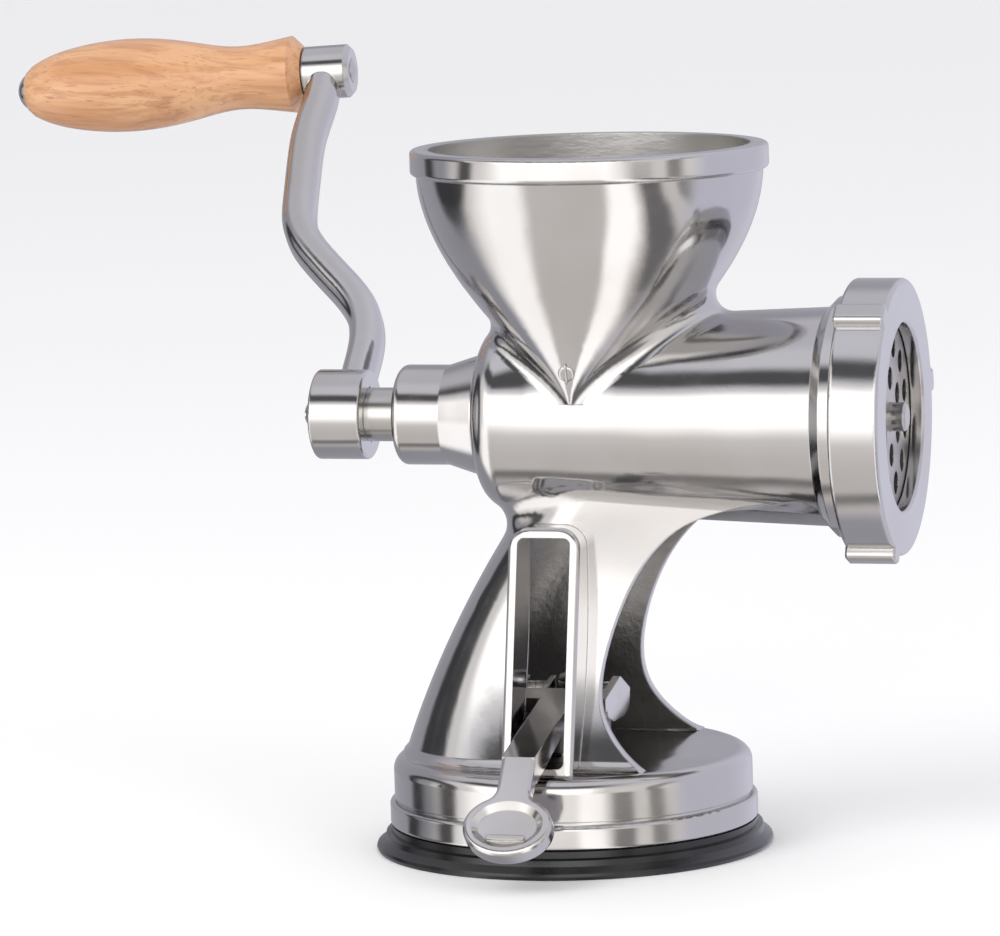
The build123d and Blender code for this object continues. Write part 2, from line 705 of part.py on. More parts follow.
def arm_bar():
    """S-bent bar from the hub to the boss, a loft of rounded rectangular sections."""
    z0 = barrel_axis_height
    start = (hub_middle + arm_bends[0][0], 0, z0 + hub_radius / 3)
    end = (boss_centre - handle_washer_thickness, 0, boss_height - boss_radius / 4)
    points = [start] + [(hub_middle + x, 0, z0 + h) for x, h in arm_bends] + [end]
    path = Spline(*points, tangents=((0, 0, 1), (0, 0, 1)))
    sections = []
    steps = 16
    for k in range(steps + 1):
        across = Plane(origin=path @ (k / steps), x_dir=(0, 1, 0), z_dir=path % (k / steps))
        sections.append(across * RectangleRounded(arm_depth, arm_width, arm_round))
    return loft(sections)


def crank_arm():
    hub = along_x(hub_radius, hub_outer, hub_inner)
    hub = fillet(hub.edges().filter_by(GeomType.CIRCLE), hub_round)
    boss = handle_rod(boss_radius, -boss_half, boss_half)
    boss = chamfer(boss.edges().filter_by(GeomType.CIRCLE).group_by(Axis.X)[-1], boss_chamfer)
    arm = leaned(hub + arm_bar() + boss)
    arm = arm - square_bar(square_side + 2 * socket_gap, socket_end, hub_inner + 1)
    arm = arm - along_x(crank_screw_thread + crank_screw_gap, hub_outer - 1, socket_end + 1)
    return arm - leaned(handle_rod(handle_bolt_radius, -boss_half - 1, boss_half + 1))


def crank_screw():
    """Domed screw that holds the crank on the shaft's square end."""
    head_face = hub_outer - crank_screw_head
    dome_radius = (crank_screw_radius ** 2 + crank_screw_head ** 2) / (2 * crank_screw_head)
    ball = Pos(head_face + dome_radius, 0, barrel_axis_height) * Sphere(dome_radius)
    head = ball & along_x(crank_screw_radius, head_face - 1, hub_outer)
    slot_low = barrel_axis_height - crank_screw_slot / 2
    slot = slab(head_face - 1, head_face + crank_screw_slot,
                -crank_screw_radius, crank_screw_radius, slot_low, slot_low + crank_screw_slot)
    thread = along_x(crank_screw_thread, hub_outer - 1, hub_outer + crank_screw_length)
    return head + thread - slot


def handle_bolt():
    """Bolt riveted in the boss; the handle turns on it."""
    end = grip_end + end_gap + bolt_in_cap
    shank = handle_rod(handle_bolt_radius, -boss_half, end)
    dome_radius = bolt_end_radius * 1.5
    dome = handle_plane(dome_radius - bolt_end_proud - boss_half) * Sphere(dome_radius)
    return leaned(shank + (dome & handle_rod(bolt_end_radius, -boss_half - 5, -boss_half)))


def handle_washer():
    return leaned(handle_rod(handle_washer_radius, boss_half, washer_face)
                  - handle_rod(handle_bolt_radius, boss_half - 1, washer_face + 1))


def handle_end_cap():
    """Domed cap nut at the free end of the handle bolt."""
    base = grip_end + end_gap
    dome_radius = (end_cap_radius ** 2 + end_cap_height ** 2) / (2 * end_cap_height)
    ball = handle_plane(base + end_cap_height - dome_radius) * Sphere(dome_radius)
    cap = ball & handle_rod(end_cap_radius, base, base + end_cap_height + 1)
    return leaned(cap - handle_rod(handle_bolt_radius, base - 1, base + bolt_in_cap))


def handle_grip():
    """Turned wooden grip: bevelled collar, waist, swelling and rounded end."""
    outline = [(r, 0, share * handle_length) for share, r in handle_outline]
    curve = Spline(*outline)
    tail = Polyline(outline[-1], (handle_outer_radius, 0, handle_length), (0, 0, handle_length),
                    (0, 0, 0), (handle_inner_radius, 0, 0), outline[0])
    body = revolve(make_face([curve, tail]), Axis.Z)
    body = body - along_z(handle_bolt_radius + running_gap, -1, handle_length + 1)
    return leaned(handle_plane(grip_start) * body)


# ---- suction lever and stem ----

def profile_x(points, x0, x1):
    """Prism along X whose outline is given as (y, z) from the lever's pivot."""
    outline = Polyline(*[(x0, y, lever_pivot_height + z) for y, z in points], close=True)
    return extrude(make_face(outline), x1 - x0, dir=(1, 0, 0))


def cam_outline():
    """Cam whose reach falls evenly as the lever swings up, so the stem drops evenly."""
    reach = cam_reach - cam_gap
    fall = stem_drop / math.radians(lever_swing)
    points = [(-cam_front, -reach)]
    steps = 8
    for k in range(steps + 1):
        a = math.radians(lever_swing) * k / steps
        r = reach - fall * a
        points.append((r * math.sin(a) - fall * math.cos(a), -r * math.cos(a) - fall * math.sin(a)))
    a = math.radians(lever_swing)
    y, z = points[-1]
    points.append((y + stem_radius * math.cos(a), z + stem_radius * math.sin(a)))
    return points + [(cam_front / 2, cam_front / 3), (-cam_front, cam_front / 4)]


def lever_top(y):
    """Height of the lever's top face above the pivot at distance y (negative in front)."""
    return head_crown + y * math.tan(math.radians(arm_slope))


def lever_head():
    """Cross bar: octagonal end cheeks, top plate, cam lobes and shallow top pockets."""
    inner = head_half_length - cheek_thickness
    cheeks = profile_x(cheek_outline, -head_half_length, head_half_length)
    middle = profile_x([(y * 2, z * 2) for y, z in cheek_outline], -inner, inner)
    plate = profile_x(head_plate, -head_half_length, head_half_length)
    lobes = profile_x(cam_outline(), -inner, inner)
    head = (cheeks - middle) + plate + lobes
    slot = stem_radius + stem_slot_gap
    for side in (-1, 1):
        low, high = sorted((side * (slot + pocket_rim), side * inner))
        pocket = [(pocket_front, pocket_floor), (pocket_front, 2 * head_crown),
                  (pocket_rear, 2 * head_crown), (pocket_rear, pocket_floor)]
        head = head - profile_x(pocket, low, high)
    return head


def lever_paddle():
    """Neck and oval thumb paddle, sloping outwards below the bend."""
    top = lever_pivot_height + lever_top(-lever_bend)
    tilt = math.radians(paddle_tilt)
    down = (0, -math.sin(tilt), -math.cos(tilt))
    plane = Plane(origin=(0, -lever_bend, top), x_dir=(1, 0, 0),
                  z_dir=(0, -math.cos(tilt), math.sin(tilt)))
    centre = -(paddle_length - paddle_half_height)
    oval = Pos(0, centre) * Ellipse(paddle_half_width, paddle_half_height)
    neck = Pos(0, centre / 2) * Rectangle(2 * lever_half_width, -centre)
    sketch = fillet((oval + neck).vertices().group_by(Axis.Y)[1], paddle_neck_round)
    body = extrude(plane * sketch, -paddle_thickness)
    body = fillet(paddle_rim_edges(body, plane, 0), paddle_front_round)
    body = fillet(paddle_rim_edges(body, plane, paddle_thickness), paddle_back_round)
    half_width, half_height = paddle_half_width - paddle_rim, paddle_half_height - paddle_rim
    dish_top = plane * (Pos(0, centre) * Ellipse(half_width, half_height))
    dish_floor = Ellipse(half_width - paddle_dish_slope, half_height - paddle_dish_slope)
    dish_floor = plane.offset(-paddle_dish) * (Pos(0, centre) * dish_floor)
    rib = Pos(0, centre - half_height / 2) * SlotOverall(paddle_rib_length, paddle_rib_width)
    rib = extrude(plane.offset(-paddle_dish) * rib, paddle_rib_height)
    return body - loft([dish_top, dish_floor]) + rib


def paddle_rim_edges(body, plane, depth):
    """Outline edges of the paddle at a depth below its front face, clear of the bend."""
    found = []
    for edge in body.edges():
        depths = [-(edge @ t - plane.origin).dot(plane.z_dir) for t in (0.1, 0.5, 0.9)]
        if all(abs(d - depth) < 0.01 for d in depths) and edge.length > paddle_rim \
                and edge.center().Y < -lever_bend - paddle_front_round:
            found.append(edge)
    return found


def suction_lever():
    bend = -lever_bend
    inside = -slot_front - lever_nose_depth
    arm = profile_x([(-slot_front, lever_top(-slot_front)), (bend, lever_top(bend)),
                     (bend + 1, lever_top(bend) - lever_nose_depth),
                     (bend / 2, lever_top(bend / 2) - lever_arm_depth),
                     (inside, lever_top(inside) - lever_arm_depth),
                     (-slot_front, seat_back - cam_reach)], -lever_half_width, lever_half_width)
    lever = lever_head() + arm + lever_paddle()
    slot = stem_radius + stem_slot_gap
    lever = lever - slab(-slot, slot, -slot_front, lever_bend, 0, barrel_axis_height)
    return lever - lever_pin()


def lever_pin():
    """Pivot pin through the lever's head and the stem."""
    return along_x(lever_pin_radius, -head_half_length, head_half_length - cheek_thickness,
                   z=lever_pivot_height)


def suction_stem():
    """Stem that pulls the suction cup's plate up; rounded top, pin hole, threaded lower end."""
    stem = along_z(stem_radius, foot_plate_top, stem_top)
    top_edge = stem.edges().filter_by(GeomType.CIRCLE).group_by(Axis.Z)[-1]
    stem = fillet(top_edge, stem_crown_round)
    stem = stem + along_z(stem_thread_radius, stem_end, foot_plate_top + 1)
    pin_hole = along_x(lever_pin_radius + running_gap, -stem_radius, stem_radius,
                       z=lever_pivot_height)
    return stem - pin_hole


def stem_foot_plate():
    plate = along_z(foot_plate_radius, foot_plate_bottom, foot_plate_top)
    return plate - along_z(stem_thread_radius, foot_plate_bottom - 1, stem_top)


def stem_nut():
    nut = extrude(Plane.XY.offset(foot_plate_bottom - stem_nut_height)
                  * RegularPolygon(stem_nut_size / 2, 6, major_radius=False), stem_nut_height)
    return nut - along_z(stem_thread_radius, 0, stem_top)


if __name__ == "__main__":
    os.makedirs("parts", exist_ok=True)
    pieces = (body_casting, rear_bush, thrust_washer, plate_key_pin, suction_cup,
              feed_screw, cross_knife, grinding_plate, ring_nut,
              crank_arm, crank_screw, handle_bolt, handle_washer, handle_end_cap, handle_grip,
              suction_lever, lever_pin, suction_stem, stem_foot_plate, stem_nut)
    for piece in pieces:
        save(piece.__name__, piece())
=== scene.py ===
import math

import bpy
import numpy as np
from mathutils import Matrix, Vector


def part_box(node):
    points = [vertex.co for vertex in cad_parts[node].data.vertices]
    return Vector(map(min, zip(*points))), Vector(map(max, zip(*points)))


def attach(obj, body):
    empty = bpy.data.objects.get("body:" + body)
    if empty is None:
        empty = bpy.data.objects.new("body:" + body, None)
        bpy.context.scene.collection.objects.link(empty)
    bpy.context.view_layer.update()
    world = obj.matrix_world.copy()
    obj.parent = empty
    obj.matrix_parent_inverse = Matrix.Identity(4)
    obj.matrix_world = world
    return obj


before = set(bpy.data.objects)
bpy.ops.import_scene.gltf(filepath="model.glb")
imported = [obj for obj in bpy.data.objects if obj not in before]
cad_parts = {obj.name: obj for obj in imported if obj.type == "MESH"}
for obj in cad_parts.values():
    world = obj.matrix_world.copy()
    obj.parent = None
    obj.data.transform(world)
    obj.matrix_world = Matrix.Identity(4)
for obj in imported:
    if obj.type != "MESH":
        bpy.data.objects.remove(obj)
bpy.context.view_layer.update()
print("frame loaded:", len(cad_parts), "CAD nodes")


class Wire:                                   # one node socket; + - * / on it add Math nodes
    def __init__(self, tree, out):
        self.tree = tree
        self.out = out

    def add(self, kind, settings=None, inputs=None, take=0):
        node = self.tree.nodes.new(kind)
        for name, value in (settings or {}).items():
            setattr(node, name, value)
        for name, value in (inputs or {}).items():
            if isinstance(value, Wire):
                self.tree.links.new(value.out, node.inputs[name])
            else:
                node.inputs[name].default_value = value
        return Wire(self.tree, node.outputs[take])

    def math(self, operation, *others):
        values = dict(enumerate((self, *others)))
        return self.add("ShaderNodeMath", {"operation": operation}, values)

    def flipped(self, operation, other):      # a plain number on the left
        settings = {"operation": operation}
        return self.add("ShaderNodeMath", settings, {0: other, 1: self})

    def __add__(self, other):
        return self.math("ADD", other)

    def __radd__(self, other):
        return self.flipped("ADD", other)

    def __sub__(self, other):
        return self.math("SUBTRACT", other)

    def __rsub__(self, other):
        return self.flipped("SUBTRACT", other)

    def __mul__(self, other):
        return self.math("MULTIPLY", other)

    def __rmul__(self, other):
        return self.flipped("MULTIPLY", other)

    def __truediv__(self, other):
        return self.math("DIVIDE", other)

    def __rtruediv__(self, other):
        return self.flipped("DIVIDE", other)

    def __pow__(self, other):
        return self.math("POWER", other)

    def rise(self, low, high):                # 0 below low, 1 above high, smooth between
        return self.add("ShaderNodeMapRange", {"interpolation_type": "SMOOTHSTEP"},
                        {"Value": self, "From Min": low, "From Max": high})

    def axes(self):                           # the three parts of a vector
        parts = self.tree.nodes.new("ShaderNodeSeparateXYZ")
        self.tree.links.new(self.out, parts.inputs[0])
        return [Wire(self.tree, parts.outputs[k]) for k in range(3)]

    def placed(self, turn=(0, 0, 0), scale=(1, 1, 1)):
        return self.add("ShaderNodeMapping", None,
                        {"Vector": self, "Rotation": turn, "Scale": scale})

    def noise(self, scale, detail=4.0, rough=0.5, twist=0.0):
        return self.add("ShaderNodeTexNoise", None,
                        {"Vector": self, "Scale": scale, "Detail": detail,
                         "Roughness": rough, "Distortion": twist})

    def blend(self, first, second):           # self is the share of the second colour
        return self.add("ShaderNodeMix", {"data_type": "RGBA"},
                        {0: self, 6: first, 7: second}, take=2)


def newMaterial(name):
    material = bpy.data.materials.new(name)
    material.use_nodes = True
    tree = material.node_tree
    tree.nodes.clear()
    coord = tree.nodes.new("ShaderNodeTexCoord")
    return material, Wire(tree, coord.outputs["Object"])


def finishMaterial(place, inputs):
    shader = place.add("ShaderNodeBsdfPrincipled", None, inputs)
    output = place.tree.nodes.new("ShaderNodeOutputMaterial")
    place.tree.links.new(shader.out, output.inputs["Surface"])


def newPiece(name, points, faces, material, rides):
    mesh = bpy.data.meshes.new(name)
    mesh.from_pydata(points.tolist(), [], faces)
    mesh.polygons.foreach_set("use_smooth", [True] * len(mesh.polygons))
    mesh.materials.append(material)
    piece = bpy.data.objects.new(name, mesh)
    bpy.context.scene.collection.objects.link(piece)
    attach(piece, rides)


def turnedGrid(profile, steps, centre, right, up, out):
    # centre + radius times (cos a right + sin a up) + height times out, a pole at either end
    radius, height = profile[1:-1].T
    angle = np.linspace(0, 2 * np.pi, steps, endpoint=False)
    r, a = np.meshgrid(radius, angle, indexing="ij")
    h = np.repeat(height, steps)
    wall = np.outer((r * np.cos(a)).ravel(), right) \
        + np.outer((r * np.sin(a)).ravel(), up) + np.outer(h, out)
    poles = np.outer([profile[0, 1], profile[-1, 1]], out)
    points = np.vstack([wall, poles]) + centre
    k = np.arange(steps)
    n = (k + 1) % steps
    low = np.arange(len(radius) - 1)[:, None] * steps
    high = low + steps
    walls = np.stack([low + k, high + k, high + n, low + n], axis=-1).reshape(-1, 4)
    end = len(wall) - steps
    firstCap = np.column_stack([np.full(steps, len(wall)), k, n])
    lastCap = np.column_stack([np.full(steps, len(wall) + 1), end + n, end + k])
    return points, firstCap.tolist() + lastCap.tolist() + walls.tolist()


def middleOf(name):
    low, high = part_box(name)
    return [(a + b) / 2 for a, b in zip(low, high)]


def topOf(name):
    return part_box(name)[1][2]


mm = 0.001
steel = {"colour": (0.55, 0.542, 0.545, 1), "warm": (0.52, 0.503, 0.49, 1),
         "rough": 0.075, "roughSpread": 0.10, "edgeRadius": 0.5 * mm,
         "cloudScale": 22, "fineScale": 900, "smearScale": 130,
         "waveScale": 28, "waveDepth": 0.9 * mm, "scratchReach": 0.3 * mm}


def steelSurface(place, look, scratch=(1, 1, 1), depth=0.02, marks=None):
    # colour, roughness and normal: cloudy polish, slow waves, fine scratches, softened edges
    cloud = place.noise(look["cloudScale"], 3, 0.55).rise(0.35, 0.7)
    fine = place.placed(scale=scratch).noise(look["fineScale"], 3, 0.7)
    smear = place.placed(scale=scratch).noise(look["smearScale"], 4, 0.6).rise(0.45, 0.75)
    colour = cloud.blend(look["colour"], look["warm"])
    rough = look["rough"] + look["roughSpread"] * (0.5 * cloud + 0.5 * smear)
    edge = place.add("ShaderNodeBevel", {"samples": 4}, {"Radius": look["edgeRadius"]})
    wave = place.noise(look["waveScale"], 1, 0.4)
    normal = place.add("ShaderNodeBump", None,
                       {"Strength": 1.0, "Distance": look["waveDepth"], "Height": wave,
                        "Normal": edge})
    height = fine * depth
    if marks is not None:
        height = height + marks
    normal = place.add("ShaderNodeBump", None,
                       {"Strength": 1.0, "Distance": look["scratchReach"],
                        "Height": height, "Normal": normal})
    return colour, rough, normal


# body casting: mirror outside, grey cast skin inside the pedestal, satin inside the hopper
casting = {"castColour": (0.33, 0.32, 0.31, 1), "castPale": (0.43, 0.42, 0.41, 1),
           "castRough": 0.30, "satinColour": (0.56, 0.55, 0.53, 1), "satinRough": 0.22,
           "gritScale": 420, "lumpScale": 60, "rolledScale": 500, "rolledShare": 0.35,
           "textureStrength": 0.6, "textureDepth": 0.35 * mm}
body = {"axis": middleOf("feed_screw")[2], "foot": topOf("suction_cup") + 11.2 * mm,
        "hopperX": 9.2 * mm, "hopperLong": 48.2 * mm, "hopperWide": 45.8 * mm,
        "hopperTip": 27.6 * mm, "hopperDepth": 64.5 * mm, "hopperSkin": 2.2 * mm,
        "rim": topOf("body_casting") - 7.0 * mm, "taper": 1.85,
        "flareStart": 51.2 * mm, "flareSpan": 45.0 * mm, "flarePower": 1.8,
        "halfWidth": 20.2 * mm, "flare": 12.5 * mm, "back": 47.1 * mm,
        "backSlope": 0.33, "backCurve": 2.6, "skin": 2.6 * mm, "barrelIn": 25.0 * mm,
        "floorSkip": 0.2 * mm, "roofBelowAxis": 15.0 * mm, "funnelLow": 150.0 * mm}


def pedestalInside(x, y, z):
    # 1 inside the D-shaped section less its wall, from the foot's floor up to the barrel
    up = z - body["foot"]
    drop = ((body["flareStart"] - up) / body["flareSpan"]).math("MAXIMUM", 0.0)
    halfWidth = body["halfWidth"] + (drop ** body["flarePower"]) * body["flare"]
    back = body["back"] - up * body["backSlope"] - (up * up) * body["backCurve"]
    behind = (halfWidth - back - x).math("MAXIMUM", 0.0)
    radius = (behind * behind + y * y) ** 0.5
    within = (halfWidth - radius).rise(body["skin"], body["skin"] + 1 * mm)
    fromAxis = z - body["axis"]
    belowBarrel = ((y * y + fromAxis * fromAxis) ** 0.5) \
        .rise(body["barrelIn"], body["barrelIn"] + 2 * mm)
    low = body["foot"] + body["floorSkip"]
    high = body["axis"] - body["roofBelowAxis"]
    return within * belowBarrel * z.rise(low, low + 0.7 * mm) \
        * (1 - z.rise(high - 2 * mm, high))


def hopperInside(x, y, z):
    # 1 within the hopper's oval at this height less part of its wall
    depth = ((body["rim"] - z) / body["hopperDepth"]).math("MAXIMUM", 0.0)
    long = body["hopperLong"] * (1 - depth ** body["taper"]) - body["hopperSkin"]
    narrowing = body["hopperWide"] - body["hopperTip"]
    wide = body["hopperWide"] - depth * narrowing - body["hopperSkin"]
    side = (x - body["hopperX"]) / long.math("MAXIMUM", 1 * mm)
    across = y / wide
    oval = side * side + across * across
    low = body["funnelLow"]
    return (1 - oval.rise(0.97, 1.0)) * z.rise(low, low + 2 * mm)


def castingMaterial():
    material, place = newMaterial("casting steel")
    x, y, z = place.axes()
    castMask = pedestalInside(x, y, z)
    satinMask = hopperInside(x, y, z)
    colour, rough, normal = steelSurface(place, steel)
    grit = place.noise(casting["gritScale"], 5, 0.7)
    lumps = place.noise(casting["lumpScale"], 3, 0.5)
    castTone = lumps.rise(0.3, 0.7).blend(casting["castColour"], casting["castPale"])
    colour = satinMask.blend(colour, casting["satinColour"])
    colour = castMask.blend(colour, castTone)
    rough = rough + satinMask * casting["satinRough"] + castMask * casting["castRough"]
    rolled = place.placed(scale=(0.3, 0.3, 1)).noise(casting["rolledScale"], 3, 0.6)
    texture = castMask * grit + satinMask * casting["rolledShare"] * rolled
    normal = place.add("ShaderNodeBump", None,
                       {"Strength": casting["textureStrength"],
                        "Distance": casting["textureDepth"],
                        "Height": texture, "Normal": normal})
    finishMaterial(place, {"Base Color": colour, "Metallic": 1.0, "Roughness": rough,
                           "Normal": normal})
    return material


def plainSteel(name, look, scratch=(1, 1, 1), depth=0.02):
    material, place = newMaterial(name)
    colour, rough, normal = steelSurface(place, look, scratch, depth)
    finishMaterial(place, {"Base Color": colour, "Metallic": 1.0, "Roughness": rough,
                           "Normal": normal})
    return material


def turnedSteel(name, look, pitch, depth):
    # turning marks: a sine of the distance to the screw's axis
    material, place = newMaterial(name)
    x, y, z = place.axes()
    up = z - body["axis"]
    radius = (y * y + up * up) ** 0.5
    wobble = place.noise(60, 2, 0.5) * (0.6 * mm)
    rings = ((radius + wobble) * (2 * math.pi / pitch)).math("SINE")
    colour, rough, normal = steelSurface(place, look, marks=rings * depth)
    finishMaterial(place, {"Base Color": colour, "Metallic": 1.0, "Roughness": rough,
                           "Normal": normal})
    return material


# handle grip: beech under lacquer
wood = {"light": (0.71, 0.40, 0.21, 1), "mid": (0.55, 0.26, 0.11, 1),
        "dark": (0.30, 0.105, 0.035, 1), "lacquer": 0.7, "rough": 0.40,
        "grainShare": 0.5, "fleckShare": 0.55, "patchShare": 0.4,
        "grainScale": 420, "bandScale": 110, "fleckScale": 1500, "patchScale": 40,
        "turn": (0, math.radians(-3), math.radians(3.5))}


def woodMaterial():
    # noise stretched along the handle, short dark flecks along it, clear lacquer over it
    material, place = newMaterial("lacquered beech")
    along = place.placed(turn=wood["turn"])
    grain = along.placed(scale=(0.04, 1, 1)).noise(wood["grainScale"], 4, 0.65, 0.2)
    band = along.placed(scale=(0.05, 1, 1)).noise(wood["bandScale"], 3, 0.55, 0.5)
    fleck = along.placed(scale=(0.09, 1, 1)).noise(wood["fleckScale"], 2, 0.5)
    flecks = fleck.rise(0.60, 0.70)
    patches = along.placed(scale=(0.4, 1, 1)).noise(wood["patchScale"], 2, 0.5)
    patch = patches.rise(0.35, 0.7)
    colour = band.rise(0.38, 0.62).blend(wood["light"], wood["mid"])
    colour = (grain.rise(0.46, 0.64) * wood["grainShare"]).blend(colour, wood["dark"])
    colour = (flecks * wood["fleckShare"]).blend(colour, wood["dark"])
    colour = (patch * wood["patchShare"]).blend(colour, wood["mid"])
    rough = wood["rough"] + 0.12 * grain
    normal = place.add("ShaderNodeBump", None, {"Strength": 0.25, "Distance": 0.2 * mm,
                                                "Height": grain - 0.5 * flecks})
    finishMaterial(place, {"Base Color": colour, "Roughness": rough, "Normal": normal,
                           "Coat Weight": wood["lacquer"], "Coat Roughness": 0.08})
    return material


# suction cup: black rubber
rubber = {"colour": (0.006, 0.006, 0.007, 1), "dust": (0.016, 0.016, 0.018, 1), "rough": 0.2,
          "cloudScale": 40, "grainScale": 1400}


def rubberMaterial():
    material, place = newMaterial("moulded rubber")
    cloud = place.noise(rubber["cloudScale"], 4, 0.6).rise(0.4, 0.75)
    grain = place.noise(rubber["grainScale"], 3, 0.6)
    colour = cloud.blend(rubber["colour"], rubber["dust"])
    normal = place.add("ShaderNodeBump", None, {"Strength": 0.15, "Distance": 0.1 * mm,
                                                "Height": grain + cloud * 0.5})
    finishMaterial(place, {"Base Color": colour, "Roughness": rubber["rough"] + cloud * 0.15,
                           "Normal": normal})
    return material


def simpleMaterial(name, first, second, metal, rough):   # two tones in soft clouds
    material, place = newMaterial(name)
    cloud = place.noise(150, 4, 0.6)
    normal = place.add("ShaderNodeBump", None, {"Strength": 0.1, "Distance": 0.1 * mm,
                                                "Height": cloud})
    finishMaterial(place, {"Base Color": cloud.rise(0.3, 0.7).blend(first, second),
                           "Metallic": metal, "Roughness": rough + 0.15 * cloud,
                           "Normal": normal})
    return material


def look(**changes):
    return {**steel, **changes}


finishes = {
    "body_casting": castingMaterial(),
    "ring_nut": turnedSteel("ring steel", look(rough=0.10), 0.5 * mm, 0.006),
    "grinding_plate": turnedSteel("plate steel", look(colour=(0.42, 0.41, 0.40, 1), rough=0.24),
                                  0.35 * mm, 0.02),
    "crank_arm": plainSteel("crank steel", look(rough=0.075)),
    "suction_lever": plainSteel("lever steel", look(colour=(0.58, 0.57, 0.565, 1), rough=0.11)),
    "feed_screw": turnedSteel("screw steel", look(colour=(0.50, 0.49, 0.47, 1), rough=0.20),
                              0.8 * mm, 0.02),
    "cross_knife": plainSteel("knife steel", look(rough=0.22), (0.1, 1, 1), 0.1),
    "suction_stem": plainSteel("stem steel", look(rough=0.2)),
    "handle_grip": woodMaterial(),
    "suction_cup": rubberMaterial(),
    "rear_bush": simpleMaterial("bush bronze", (0.55, 0.36, 0.14, 1), (0.62, 0.44, 0.2, 1),
                                1.0, 0.3),
    "thrust_washer": simpleMaterial("washer nylon", (0.8, 0.78, 0.7, 1), (0.74, 0.72, 0.64, 1),
                                    0.0, 0.45),
    "crank_screw": plainSteel("screw head steel", look(rough=0.12)),
}
sameAs = {"stem_foot_plate": "suction_stem", "stem_nut": "crank_screw", "lever_pin": "crank_screw",
          "plate_key_pin": "crank_screw", "handle_bolt": "crank_screw",
          "handle_washer": "crank_screw", "handle_end_cap": "crank_screw"}
for name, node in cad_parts.items():
    finish = finishes[sameAs.get(name, name)]
    for slot in node.material_slots:
        slot.material = finish
print("finishes:", len(finishes))


# cast mark on the hopper's point: a small domed disc with an upright bar
mark = {"above": 15.0 * mm, "radius": 2.3 * mm, "proud": 0.55 * mm, "sunk": 0.5 * mm,
        "edgeFall": 0.92, "barHalf": 3.0 * mm, "barRadius": 0.42 * mm, "steps": 48}


def addMark():
    share = (body["rim"] - body["axis"] - mark["above"]) / body["hopperDepth"]
    narrowing = body["hopperWide"] - body["hopperTip"]
    lean = math.atan(narrowing / body["hopperDepth"])
    right = np.array([1.0, 0.0, 0.0])
    up = np.array([0.0, -math.sin(lean), math.cos(lean)])
    out = np.array([0.0, -math.cos(lean), -math.sin(lean)])
    centre = np.array([body["hopperX"], -body["hopperWide"] + share * narrowing,
                       body["axis"] + mark["above"]])
    # disc: height is proud times the root of 1 less edgeFall times t to the sixth
    t = np.array([0.0, 0.2, 0.4, 0.6, 0.75, 0.88, 0.96, 1.0])
    height = mark["proud"] * np.sqrt(1 - mark["edgeFall"] * t ** 6)
    dome = np.column_stack([mark["radius"] * t, height])
    disc = np.vstack([dome, (mark["radius"], -mark["sunk"]), (0.0, -mark["sunk"])])
    points, faces = turnedGrid(disc, mark["steps"], centre, right, up, out)
    newPiece("hopper_mark", points, faces, finishes["crank_screw"], "body")
    # bar: radius is barRadius times 1 less t to the eighth, t from one end to the other
    t = np.linspace(0.95, -0.95, 12)
    side = np.column_stack([mark["barRadius"] * (1 - t ** 8), mark["barHalf"] * t])
    bar = np.vstack([(0.0, mark["barHalf"]), side, (0.0, -mark["barHalf"])])
    front = centre + out * mark["proud"]
    points, faces = turnedGrid(bar, mark["steps"] // 2, front, right, -out, up)
    newPiece("hopper_mark_bar", points, faces, finishes["crank_screw"], "body")


addMark()
print("mark added")


# studio: what the camera sees is pale and plain, what the steel mirrors is drawn here
studio = {"floorHalf": 16.0, "floorColour": (0.93, 0.93, 0.93, 1),
          "floorPatch": (0.915, 0.915, 0.92, 1),
          "background": (0.95, 0.95, 0.955, 1), "softbox": (2.5, 2.45, 2.4, 1),
          "sideBox": (1.9, 1.87, 1.85, 1), "room": (1.08, 1.05, 1.02, 1),
          "ground": (0.84, 0.80, 0.77, 1), "ceiling": (0.90, 0.90, 0.96, 1),
          "lilac": (0.82, 0.82, 0.95, 1), "shade": (0.44, 0.44, 0.49, 1),
          "card": (0.12, 0.12, 0.125, 1), "darkCard": (0.025, 0.025, 0.026, 1)}


# where each part of the studio fades in, from and to
fades = {"front": (-0.05, 0.25), "above": (-0.25, 0.0), "backRight": (-0.35, 0.3),
         "room": (-0.75, -0.05), "ceiling": (0.25, 0.75), "overhead": (0.55, 0.8),
         "bandEnd": (0.3, 0.7), "boxLow": (-0.34, 0.12), "boxHigh": (0.40, 0.56),
         "boxLeft": (-0.84, -0.66), "boxRight": (0.30, 0.60)}
# what stands round the grinder: low and high edge, softness and strength of each
cards = {"leftBox": (-0.84, -0.52, 0.08, 0.85), "rightBox": (0.30, 0.56, 0.05, 1.0),
         "gap": (0.62, 0.78, 0.03, 0.85), "under": (-0.93, -0.86, 0.03, 0.75),
         "band": (0.60, 0.80, 0.05, 1.0), "left": (-0.97, -0.90, 0.02, 0.9),
         "right": (0.88, 0.95, 0.02, 0.7)}


def card(name, value):                        # its strength between the edges, 0 outside
    low, high, soft, strength = cards[name]
    inside = value.rise(low - soft, low + soft) * (1 - value.rise(high - soft, high + soft))
    return inside * strength


